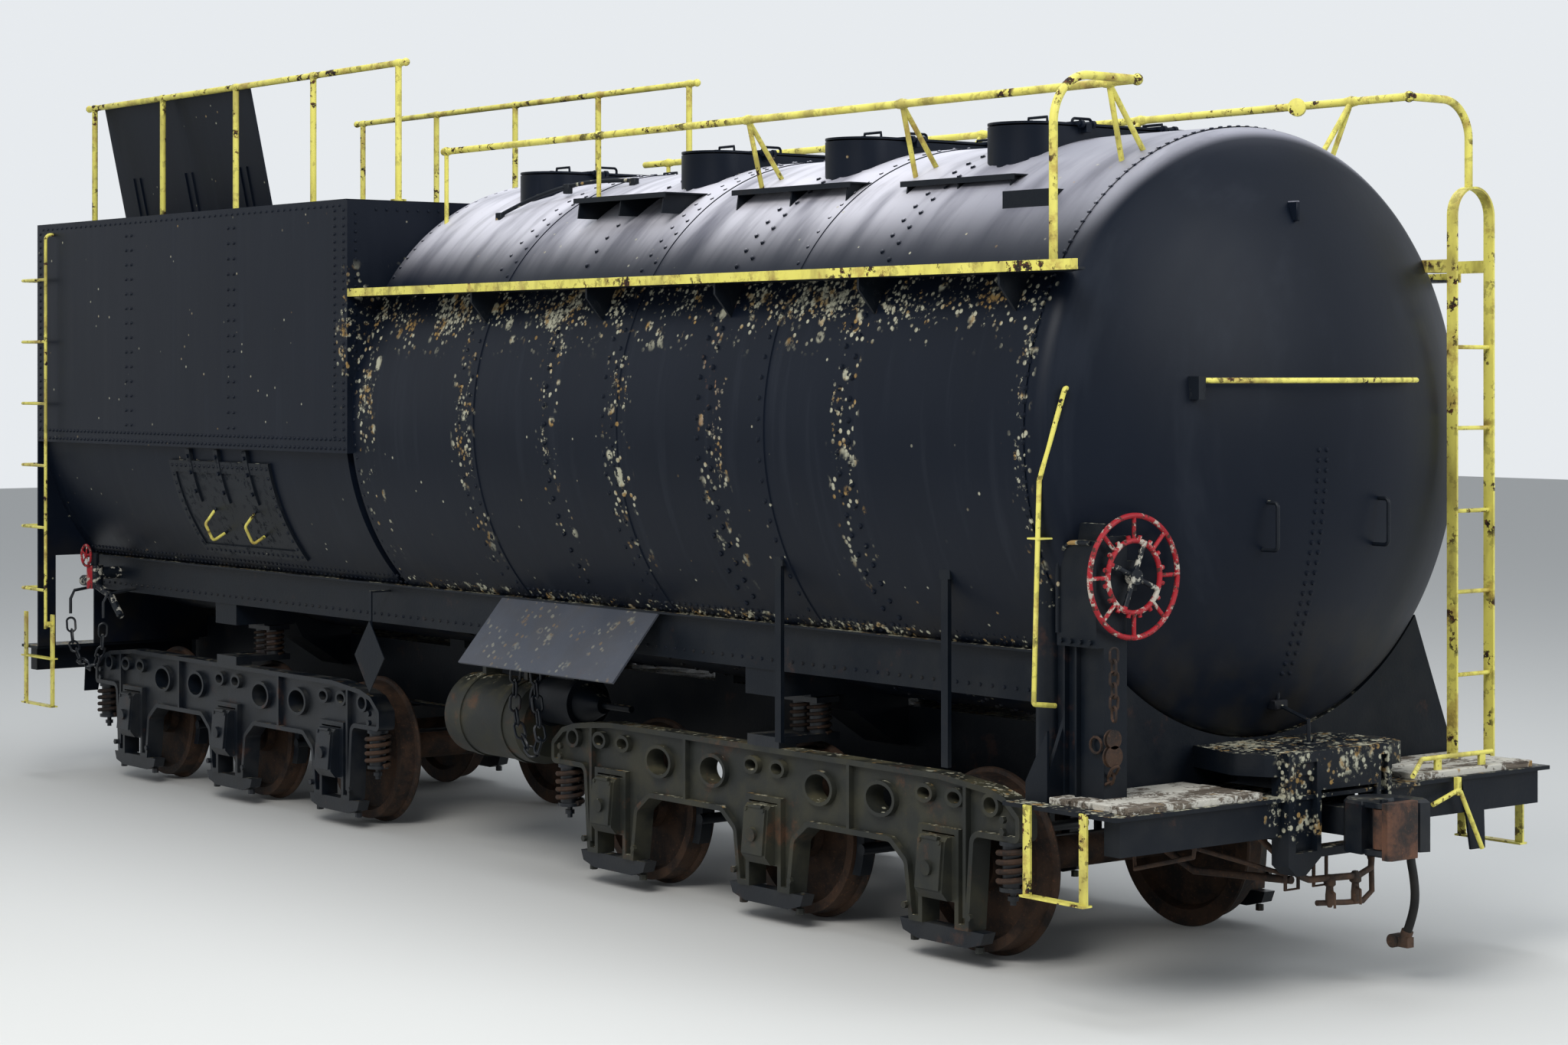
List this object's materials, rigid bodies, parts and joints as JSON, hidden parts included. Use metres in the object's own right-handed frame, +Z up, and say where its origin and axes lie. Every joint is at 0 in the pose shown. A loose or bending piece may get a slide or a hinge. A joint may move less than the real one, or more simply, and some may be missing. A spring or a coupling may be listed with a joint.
{
  "type": "railway tank car",
  "caption": "Riveted railway tank car for water, with a coal bunker over one end, on two six-wheel trucks, with ladders, rails and couplers.",
  "frame": {"origin": "on the floor under the middle of the car, at the bottom of the wheel flanges", "axes": "+X along the car towards the dished tank head, +Y across it to the far side, +Z up"},
  "size_m": [12.57, 3.264, 5.005],
  "materials": {
    "tank_paint": "weathered satin",
    "bunker_steel": "rusty and sooty",
    "frame_paint": "dusty matt",
    "yellow_paint": "chipped, rusty at the edges",
    "red_paint": "worn gloss",
    "cast_steel": "dusty black, mossy",
    "wheel_steel": "rusty with worn treads",
    "coupler_iron": "brown rust",
    "hose_rubber": "dry matt",
    "fitting_iron": "rusty"
  },
  "bodies": {
    "car_body": {"air_hose_left": "hose_rubber", "air_hose_right": "hose_rubber", "air_reservoir": "frame_paint", "angle_cocks": "frame_paint", "body_bolsters": "frame_paint", "brake_cylinder": "frame_paint", "bunker_end_walls": "tank_paint", "bunker_floor": "bunker_steel", "bunker_roof": "tank_paint", "bunker_side_walls": "tank_paint", "bunker_trough": "tank_paint", "centre_sill": "frame_paint", "drop_bars": "frame_paint", "end_decks": "frame_paint", "fill_coamings": "tank_paint", "gladhand_left": "fitting_iron", "gladhand_right": "fitting_iron", "handbrake_housing": "frame_paint", "handbrake_wheel": "red_paint", "handholds": "yellow_paint", "handrails": "yellow_paint", "ladders": "yellow_paint", "placard_holder": "frame_paint", "running_boards": "yellow_paint", "side_hatch": "tank_paint", "side_sills": "frame_paint", "slant_cover": "tank_paint", "stirrup_steps": "yellow_paint", "tank_shell": "tank_paint", "tank_steps": "frame_paint", "uncoupling_lever": "yellow_paint", "water_valve": "red_paint"},
    "truck_left": {"truck_left_bolster": "cast_steel", "truck_left_brakes": "cast_steel", "truck_left_journal_boxes": "cast_steel", "truck_left_side_bearings": "cast_steel", "truck_left_side_frames": "cast_steel", "truck_left_ties_and_springs": "cast_steel"},
    "wheelset_left_1": {"wheelset_left_1": "wheel_steel"},
    "wheelset_left_2": {"wheelset_left_2": "wheel_steel"},
    "wheelset_left_3": {"wheelset_left_3": "wheel_steel"},
    "coupler_left": {"coupler_left": "coupler_iron"},
    "knuckle_left": {"knuckle_left": "coupler_iron"},
    "truck_right": {"truck_right_bolster": "cast_steel", "truck_right_brakes": "cast_steel", "truck_right_journal_boxes": "cast_steel", "truck_right_side_bearings": "cast_steel", "truck_right_side_frames": "cast_steel", "truck_right_ties_and_springs": "cast_steel"},
    "wheelset_right_1": {"wheelset_right_1": "wheel_steel"},
    "wheelset_right_2": {"wheelset_right_2": "wheel_steel"},
    "wheelset_right_3": {"wheelset_right_3": "wheel_steel"},
    "coupler_right": {"coupler_right": "coupler_iron"},
    "knuckle_right": {"knuckle_right": "coupler_iron"},
    "bunker_lid_near": {"bunker_lid_near": "tank_paint"},
    "bunker_lid_far": {"bunker_lid_far": "tank_paint"},
    "fill_lid_1": {"fill_lid_1": "tank_paint"},
    "fill_lid_2": {"fill_lid_2": "tank_paint"},
    "fill_lid_3": {"fill_lid_3": "tank_paint"},
    "fill_lid_4": {"fill_lid_4": "tank_paint"}
  },
  "joints": [
    {"name": "truck_left_swivel", "type": "hinge", "parent": "car_body", "child": "truck_left", "pos_m": [-3.492, 0, 0.699], "axis": [0, 0, 1], "range_deg": [-5, 5]},
    {"name": "wheelset_left_1_spin", "type": "hinge", "parent": "truck_left", "child": "wheelset_left_1", "pos_m": [-4.943, 0, 0.486], "axis": [0, 1, 0], "continuous": true},
    {"name": "wheelset_left_2_spin", "type": "hinge", "parent": "truck_left", "child": "wheelset_left_2", "pos_m": [-3.492, 0, 0.486], "axis": [0, 1, 0], "continuous": true},
    {"name": "wheelset_left_3_spin", "type": "hinge", "parent": "truck_left", "child": "wheelset_left_3", "pos_m": [-2.041, 0, 0.486], "axis": [0, 1, 0], "continuous": true},
    {"name": "truck_right_swivel", "type": "hinge", "parent": "car_body", "child": "truck_right", "pos_m": [2.622, 0, 0.699], "axis": [0, 0, 1], "range_deg": [-5, 5]},
    {"name": "wheelset_right_1_spin", "type": "hinge", "parent": "truck_right", "child": "wheelset_right_1", "pos_m": [1.171, 0, 0.486], "axis": [0, 1, 0], "continuous": true},
    {"name": "wheelset_right_2_spin", "type": "hinge", "parent": "truck_right", "child": "wheelset_right_2", "pos_m": [2.622, 0, 0.486], "axis": [0, 1, 0], "continuous": true},
    {"name": "wheelset_right_3_spin", "type": "hinge", "parent": "truck_right", "child": "wheelset_right_3", "pos_m": [4.073, 0, 0.486], "axis": [0, 1, 0], "continuous": true},
    {"name": "coupler_left_swing", "type": "hinge", "parent": "car_body", "child": "coupler_left", "pos_m": [-5.485, 0, 0.839], "axis": [0, 0, 1], "range_deg": [-6, 6]},
    {"name": "knuckle_left_open", "type": "hinge", "parent": "coupler_left", "child": "knuckle_left", "pos_m": [-6.165, 0.095, 0.839], "axis": [0, 0, 1], "range_deg": [-45, 0]},
    {"name": "coupler_right_swing", "type": "hinge", "parent": "car_body", "child": "coupler_right", "pos_m": [5.485, 0, 0.839], "axis": [0, 0, 1], "range_deg": [-6, 6]},
    {"name": "knuckle_right_open", "type": "hinge", "parent": "coupler_right", "child": "knuckle_right", "pos_m": [6.165, -0.095, 0.839], "axis": [0, 0, 1], "range_deg": [-45, 0]},
    {"name": "bunker_lid_near_hinge", "type": "hinge", "parent": "car_body", "child": "bunker_lid_near", "pos_m": [-0.435, -0.925, 4.127], "axis": [1, 0, 0], "range_deg": [-102, 0]},
    {"name": "bunker_lid_far_hinge", "type": "hinge", "parent": "car_body", "child": "bunker_lid_far", "pos_m": [-0.435, 0.925, 4.127], "axis": [1, 0, 0], "range_deg": [-102, 0]},
    {"name": "fill_lid_1_hinge", "type": "hinge", "parent": "car_body", "child": "fill_lid_1", "pos_m": [-0.041, 0, 4.256], "axis": [0, 1, 0], "range_deg": [0, 100]},
    {"name": "fill_lid_2_hinge", "type": "hinge", "parent": "car_body", "child": "fill_lid_2", "pos_m": [1.669, 0, 4.291], "axis": [0, 1, 0], "range_deg": [0, 100]},
    {"name": "fill_lid_3_hinge", "type": "hinge", "parent": "car_body", "child": "fill_lid_3", "pos_m": [3.009, 0, 4.291], "axis": [0, 1, 0], "range_deg": [0, 100]},
    {"name": "fill_lid_4_hinge", "type": "hinge", "parent": "car_body", "child": "fill_lid_4", "pos_m": [4.349, 0, 4.291], "axis": [0, 1, 0], "range_deg": [0, 100]}
  ]
}
